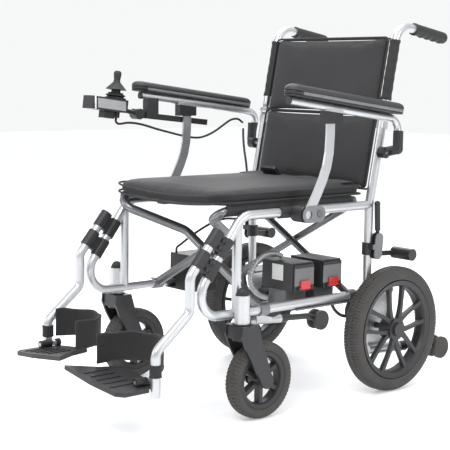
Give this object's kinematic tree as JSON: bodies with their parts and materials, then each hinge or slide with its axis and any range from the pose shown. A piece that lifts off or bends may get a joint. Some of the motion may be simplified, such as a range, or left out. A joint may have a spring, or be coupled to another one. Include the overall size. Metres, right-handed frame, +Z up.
{
  "type": "power wheelchair",
  "caption": "Folding power wheelchair with joystick, padded seat and back, hub-geared rear wheels, swivelling casters, flip-up footplates and armrests, and slide-out battery packs.",
  "frame": {"origin": "on the floor under the middle of the wheelchair", "axes": "+X to the rider's left, -Y to the front, +Z up"},
  "size_m": [0.615, 1.072, 0.9176],
  "materials": {
    "frame_silver": "satin silver powder coat",
    "brace_gray": "satin gray powder coat",
    "black_metal": "satin black paint",
    "axle_steel": "turned",
    "tyre_gray": "matt solid tyre",
    "rim_gray": "fine grain",
    "black_plastic": "fine grain",
    "gray_plastic": "fine grain",
    "red_plastic": "glossy",
    "fabric_black": "woven nylon",
    "pad_black": "grained skin over foam",
    "grip_rubber": "matt",
    "cord_rubber": "matt"
  },
  "bodies": {
    "left_side": {"left_frame": "frame_silver", "left_motor": "black_metal", "left_legrest": "frame_silver", "left_legrest_clamps": "black_plastic", "left_heel_loop": "fabric_black", "left_frame_fittings": "black_plastic", "lower_back_pad": "fabric_black", "battery_dock": "gray_plastic", "battery_wiring": "cord_rubber"},
    "brace_a_half": {"brace_a": "brace_gray"},
    "brace_b_half": {"brace_b": "brace_gray"},
    "right_side": {"right_frame": "frame_silver", "right_motor": "black_metal", "right_legrest": "frame_silver", "right_legrest_clamps": "black_plastic", "right_heel_loop": "fabric_black", "right_frame_fittings": "black_plastic", "controller": "black_plastic", "frame_lead": "cord_rubber"},
    "seat": {"seat_sling": "fabric_black", "seat_cushion": "fabric_black", "seat_belt": "fabric_black"},
    "left_rear_wheel": {"left_rear_rim": "rim_gray", "left_rear_tyre": "tyre_gray"},
    "right_rear_wheel": {"right_rear_rim": "rim_gray", "right_rear_tyre": "tyre_gray"},
    "left_caster_swivel": {"left_caster_fork": "black_metal"},
    "right_caster_swivel": {"right_caster_fork": "black_metal"},
    "left_caster_wheel": {"left_caster_rim": "rim_gray", "left_caster_tyre": "tyre_gray"},
    "right_caster_wheel": {"right_caster_rim": "rim_gray", "right_caster_tyre": "tyre_gray"},
    "left_antitip": {"left_antitip_wheel": "tyre_gray"},
    "right_antitip": {"right_antitip_wheel": "tyre_gray"},
    "left_footrest": {"left_footplate": "black_plastic"},
    "right_footrest": {"right_footplate": "black_plastic"},
    "left_back": {"left_upper_cane": "frame_silver", "left_push_grip": "grip_rubber", "upper_back_pad": "fabric_black"},
    "right_back": {"right_upper_cane": "frame_silver", "right_push_grip": "grip_rubber"},
    "left_arm": {"left_arm_tube": "frame_silver", "left_arm_pad": "pad_black"},
    "right_arm": {"right_arm_tube": "frame_silver", "right_arm_pad": "pad_black", "joystick_box": "black_plastic", "arm_lead": "cord_rubber"},
    "left_latch_button": {"left_arm_button": "gray_plastic"},
    "right_latch_button": {"right_arm_button": "gray_plastic"},
    "left_brake_handle": {"left_brake_lever": "black_plastic"},
    "right_brake_handle": {"right_brake_lever": "black_plastic"},
    "left_brake": {"left_brake_shoe": "black_metal"},
    "right_brake": {"right_brake_shoe": "black_metal"},
    "front_battery_pack": {"front_battery": "black_plastic"},
    "rear_battery_pack": {"rear_battery": "black_plastic"},
    "front_latch": {"front_battery_latch": "red_plastic"},
    "rear_latch": {"rear_battery_latch": "red_plastic"},
    "gimbal": {"joystick_gimbal": "axle_steel"},
    "stick": {"joystick_stick": "grip_rubber"}
  },
  "joints": [
    {"name": "fold", "type": "hinge", "parent": "left_side", "child": "brace_a_half", "pos_m": [0.213, -0.113, 0.245], "axis": [0, 1, 0], "range_deg": [0, 30], "deforming": ["seat_sling", "seat_cushion", "seat_belt", "lower_back_pad", "upper_back_pad", "left_heel_loop", "right_heel_loop"]},
    {"name": "brace_b_turn", "type": "hinge", "parent": "brace_a_half", "child": "brace_b_half", "pos_m": [0, -0.113, 0.362], "axis": [0, 1, 0], "range_deg": [-60, 0]},
    {"name": "right_side_turn", "type": "hinge", "parent": "brace_b_half", "child": "right_side", "pos_m": [-0.213, -0.113, 0.245], "axis": [0, 1, 0], "range_deg": [0, 30]},
    {"name": "seat_level", "type": "hinge", "parent": "brace_a_half", "child": "seat", "pos_m": [-0.19, -0.043, 0.477], "axis": [0, 1, 0], "range_deg": [-30, 0]},
    {"name": "left_rear_wheel_spin", "type": "hinge", "parent": "left_side", "child": "left_rear_wheel", "pos_m": [0.261, 0.275, 0.157], "axis": [1, 0, 0], "continuous": true},
    {"name": "left_caster_swivel_turn", "type": "hinge", "parent": "left_side", "child": "left_caster_swivel", "pos_m": [0.239, -0.21, 0.227], "axis": [0, 0, 1], "continuous": true},
    {"name": "left_caster_wheel_spin", "type": "hinge", "parent": "left_caster_swivel", "child": "left_caster_wheel", "pos_m": [0.239, -0.155, 0.09], "axis": [1, 0, 0], "continuous": true},
    {"name": "left_antitip_wheel_spin", "type": "hinge", "parent": "left_side", "child": "left_antitip", "pos_m": [0.221, 0.507, 0.071], "axis": [1, 0, 0], "continuous": true},
    {"name": "left_footplate_flip", "type": "hinge", "parent": "left_side", "child": "left_footrest", "pos_m": [0.188, -0.433, 0.121], "axis": [0, 1, 0], "range_deg": [0, 80]},
    {"name": "left_back_half_fold", "type": "hinge", "parent": "left_side", "child": "left_back", "pos_m": [0.213, 0.27475, 0.688], "axis": [-1, 0, 0], "range_deg": [0, 100]},
    {"name": "left_armrest_flip", "type": "hinge", "parent": "left_side", "child": "left_arm", "pos_m": [0.238, 0.251, 0.597], "axis": [-1, 0, 0], "range_deg": [0, 95]},
    {"name": "left_arm_button_press", "type": "slide", "parent": "left_side", "child": "left_latch_button", "axis": [-1, 0, 0], "range_m": [0, 0.003], "stiffness_N_per_m": 600},
    {"name": "left_brake_lever_turn", "type": "hinge", "parent": "left_side", "child": "left_brake_handle", "pos_m": [0.227, 0.244, 0.384], "axis": [1, 0, 0], "range_deg": [0, 45]},
    {"name": "left_brake_shoe_turn", "type": "hinge", "parent": "left_side", "child": "left_brake", "pos_m": [0.227, 0.24, 0.346], "axis": [1, 0, 0], "range_deg": [-12, 0]},
    {"name": "right_rear_wheel_spin", "type": "hinge", "parent": "right_side", "child": "right_rear_wheel", "pos_m": [-0.261, 0.275, 0.157], "axis": [1, 0, 0], "continuous": true},
    {"name": "right_caster_swivel_turn", "type": "hinge", "parent": "right_side", "child": "right_caster_swivel", "pos_m": [-0.239, -0.21, 0.227], "axis": [0, 0, 1], "continuous": true},
    {"name": "right_caster_wheel_spin", "type": "hinge", "parent": "right_caster_swivel", "child": "right_caster_wheel", "pos_m": [-0.239, -0.155, 0.09], "axis": [1, 0, 0], "continuous": true},
    {"name": "right_antitip_wheel_spin", "type": "hinge", "parent": "right_side", "child": "right_antitip", "pos_m": [-0.221, 0.507, 0.071], "axis": [1, 0, 0], "continuous": true},
    {"name": "right_footplate_flip", "type": "hinge", "parent": "right_side", "child": "right_footrest", "pos_m": [-0.188, -0.433, 0.136], "axis": [0, -1, 0], "range_deg": [0, 80]},
    {"name": "right_back_half_fold", "type": "hinge", "parent": "right_side", "child": "right_back", "pos_m": [-0.213, 0.27475, 0.688], "axis": [-1, 0, 0], "range_deg": [0, 100]},
    {"name": "right_armrest_flip", "type": "hinge", "parent": "right_side", "child": "right_arm", "pos_m": [-0.238, 0.251, 0.597], "axis": [-1, 0, 0], "range_deg": [0, 95]},
    {"name": "right_arm_button_press", "type": "slide", "parent": "right_side", "child": "right_latch_button", "axis": [1, 0, 0], "range_m": [0, 0.003], "stiffness_N_per_m": 600},
    {"name": "right_brake_lever_turn", "type": "hinge", "parent": "right_side", "child": "right_brake_handle", "pos_m": [-0.227, 0.244, 0.384], "axis": [1, 0, 0], "range_deg": [0, 45]},
    {"name": "right_brake_shoe_turn", "type": "hinge", "parent": "right_side", "child": "right_brake", "pos_m": [-0.227, 0.24, 0.346], "axis": [1, 0, 0], "range_deg": [-12, 0]},
    {"name": "front_battery_slide", "type": "slide", "parent": "left_side", "child": "front_battery_pack", "axis": [1, 0, 0], "range_m": [0, 0.12]},
    {"name": "front_battery_latch_lift", "type": "hinge", "parent": "front_battery_pack", "child": "front_latch", "pos_m": [0.208, 0.0195, 0.2774], "axis": [0, 1, 0], "range_deg": [0, 30], "stiffness_Nm_per_rad": 0.02},
    {"name": "rear_battery_slide", "type": "slide", "parent": "left_side", "child": "rear_battery_pack", "axis": [1, 0, 0], "range_m": [0, 0.12]},
    {"name": "rear_battery_latch_lift", "type": "hinge", "parent": "rear_battery_pack", "child": "rear_latch", "pos_m": [0.208, 0.1155, 0.2774], "axis": [0, 1, 0], "range_deg": [0, 30], "stiffness_Nm_per_rad": 0.02},
    {"name": "joystick_fore_aft", "type": "hinge", "parent": "right_arm", "child": "gimbal", "pos_m": [-0.263, -0.20087, 0.70793], "axis": [1, 0, 0], "range_deg": [-15, 15], "stiffness_Nm_per_rad": 0.3},
    {"name": "joystick_side_to_side", "type": "hinge", "parent": "gimbal", "child": "stick", "pos_m": [-0.263, -0.20087, 0.70793], "axis": [0, 0.9929, -0.1193], "range_deg": [-15, 15], "stiffness_Nm_per_rad": 0.3}
  ],
  "couplings": [
    {"joint": "brace_b_turn", "follows": "fold", "ratio": -2},
    {"joint": "right_side_turn", "follows": "fold", "ratio": 1},
    {"joint": "seat_level", "follows": "fold", "ratio": -1},
    {"joint": "left_footplate_flip", "follows": "fold", "ratio": 2.666},
    {"joint": "right_footplate_flip", "follows": "fold", "ratio": 2.666},
    {"joint": "right_back_half_fold", "follows": "left_back_half_fold", "ratio": 1},
    {"joint": "left_brake_shoe_turn", "follows": "left_brake_lever_turn", "ratio": -0.2666},
    {"joint": "right_brake_shoe_turn", "follows": "right_brake_lever_turn", "ratio": -0.2666}
  ]
}
